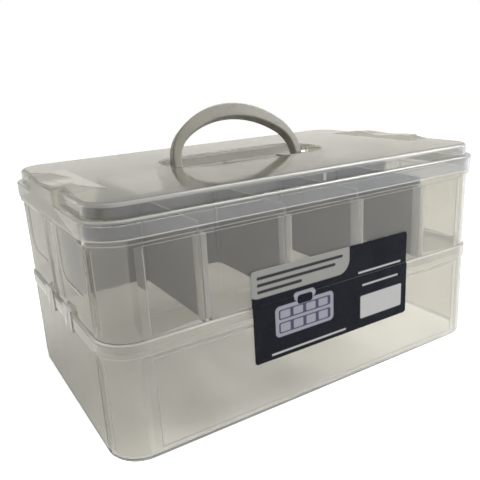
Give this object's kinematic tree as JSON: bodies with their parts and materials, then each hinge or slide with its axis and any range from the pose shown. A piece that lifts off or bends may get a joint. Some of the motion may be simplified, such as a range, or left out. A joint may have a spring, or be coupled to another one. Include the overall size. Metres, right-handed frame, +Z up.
{
  "type": "organizer case",
  "caption": "Clear two-tier organizer case: a lift-off lid with a folding carry handle over a tray with removable dividers, stacked on an open tray.",
  "frame": {"origin": "middle of the base, on the table", "axes": "+X along the length, +Y from the sticker side to the back, +Z up"},
  "size_m": [0.287, 0.177, 0.1794],
  "materials": {
    "clear_plastic": "clear moulded plastic, slightly warm, glossy",
    "handle_grey": "satin warm grey",
    "divider_grey": "satin dark grey",
    "sticker": "printed film, dark blue with a pale panel"
  },
  "bodies": {
    "lower": {"lower_tray": "clear_plastic", "label_lower": "sticker"},
    "upper": {"upper_tray": "clear_plastic", "label_upper": "sticker"},
    "lid": {"lid": "clear_plastic"},
    "handle": {"handle": "handle_grey"},
    "centre_divider": {"centre_divider": "divider_grey"},
    "cross_divider_front_1": {"cross_divider_front_1": "divider_grey"},
    "cross_divider_front_2": {"cross_divider_front_2": "divider_grey"},
    "cross_divider_front_3": {"cross_divider_front_3": "divider_grey"},
    "cross_divider_front_4": {"cross_divider_front_4": "divider_grey"},
    "cross_divider_rear_1": {"cross_divider_rear_1": "divider_grey"},
    "cross_divider_rear_2": {"cross_divider_rear_2": "divider_grey"},
    "cross_divider_rear_3": {"cross_divider_rear_3": "divider_grey"},
    "cross_divider_rear_4": {"cross_divider_rear_4": "divider_grey"}
  },
  "joints": [
    {"name": "upper_tray_lift", "type": "slide", "parent": "lower", "child": "upper", "axis": [0, 0, 1], "range_m": [0, 0.09]},
    {"name": "lid_lift", "type": "slide", "parent": "upper", "child": "lid", "axis": [0, 0, 1], "range_m": [0, 0.09]},
    {"name": "handle_swing", "type": "hinge", "parent": "lid", "child": "handle", "pos_m": [0, 0.008, 0.1384], "axis": [1, 0, 0], "range_deg": [-38, 86]},
    {"name": "centre_divider_lift", "type": "slide", "parent": "upper", "child": "centre_divider", "axis": [0, 0, 1], "range_m": [0, 0.0048]},
    {"name": "cross_divider_front_1_lift", "type": "slide", "parent": "upper", "child": "cross_divider_front_1", "axis": [0, 0, 1], "range_m": [0, 0.0145]},
    {"name": "cross_divider_front_2_lift", "type": "slide", "parent": "upper", "child": "cross_divider_front_2", "axis": [0, 0, 1], "range_m": [0, 0.0048]},
    {"name": "cross_divider_front_3_lift", "type": "slide", "parent": "upper", "child": "cross_divider_front_3", "axis": [0, 0, 1], "range_m": [0, 0.0048]},
    {"name": "cross_divider_front_4_lift", "type": "slide", "parent": "upper", "child": "cross_divider_front_4", "axis": [0, 0, 1], "range_m": [0, 0.0145]},
    {"name": "cross_divider_rear_1_lift", "type": "slide", "parent": "upper", "child": "cross_divider_rear_1", "axis": [0, 0, 1], "range_m": [0, 0.0145]},
    {"name": "cross_divider_rear_2_lift", "type": "slide", "parent": "upper", "child": "cross_divider_rear_2", "axis": [0, 0, 1], "range_m": [0, 0.0048]},
    {"name": "cross_divider_rear_3_lift", "type": "slide", "parent": "upper", "child": "cross_divider_rear_3", "axis": [0, 0, 1], "range_m": [0, 0.0048]},
    {"name": "cross_divider_rear_4_lift", "type": "slide", "parent": "upper", "child": "cross_divider_rear_4", "axis": [0, 0, 1], "range_m": [0, 0.0145]}
  ]
}
